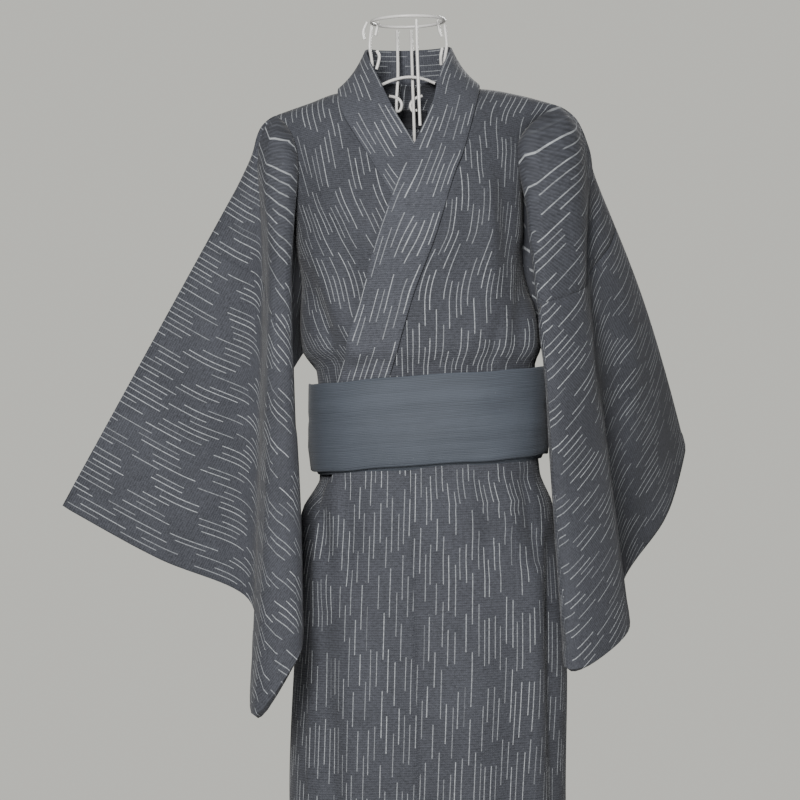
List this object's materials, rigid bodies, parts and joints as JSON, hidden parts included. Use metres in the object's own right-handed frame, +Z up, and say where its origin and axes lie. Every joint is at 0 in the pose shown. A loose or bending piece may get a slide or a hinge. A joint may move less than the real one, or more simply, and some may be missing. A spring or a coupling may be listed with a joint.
{
  "type": "cotton yukata robe with belt on a wire dress form",
  "caption": "Cotton yukata robe with wide sleeves and a flat belt, worn by a white wire dress form on a pole and a round base.",
  "frame": {"origin": "middle of the underside of the form's round base", "axes": "+Z up, the wearer faces -Y, the wearer's left is +X"},
  "size_m": [0.7993, 0.4351, 1.522],
  "materials": {
    "cotton": "dark blue-grey crinkled cotton with fine light dashes along the warp",
    "collar_cotton": "the same dashed cotton, folded double",
    "belt_cloth": "plain slate blue cloth with fine cross ribs",
    "label_cloth": "small plain dark woven label",
    "white_paint": "white gloss paint on steel wire"
  },
  "bodies": {
    "root": {"base": "white_paint", "belt_inner_turn": "belt_cloth", "belt_knot_fold": "belt_cloth", "belt_knot_tail_across": "belt_cloth", "belt_knot_tail_up": "belt_cloth", "belt_outer_turn": "belt_cloth", "body_panel_left": "cotton", "body_panel_right": "cotton", "chest_hoop": "white_paint", "chest_hoop_bar": "white_paint", "collar_band": "collar_cotton", "hip_hoop": "white_paint", "hip_hoop_bar": "white_paint", "neck_arch": "white_paint", "neck_label": "label_cloth", "neck_ring": "white_paint", "neck_wire_back_left": "white_paint", "neck_wire_back_right": "white_paint", "neck_wire_centre": "white_paint", "neck_wire_front": "white_paint", "neck_wire_left": "white_paint", "neck_wire_right": "white_paint", "overlap_panel_left": "cotton", "overlap_panel_right": "cotton", "pole": "white_paint", "rib_back_left": "white_paint", "rib_back_right": "white_paint", "rib_front_left": "white_paint", "rib_front_right": "white_paint", "rib_side_back_left": "white_paint", "rib_side_back_right": "white_paint", "rib_side_front_left": "white_paint", "rib_side_front_right": "white_paint", "scroll_high_left": "white_paint", "scroll_high_right_inner": "white_paint", "scroll_high_right_outer": "white_paint", "scroll_low_left": "white_paint", "scroll_low_right": "white_paint", "sleeve_left": "cotton", "sleeve_right": "cotton", "waist_hoop": "white_paint", "waist_hoop_bar": "white_paint"}
  },
  "joints": []
}
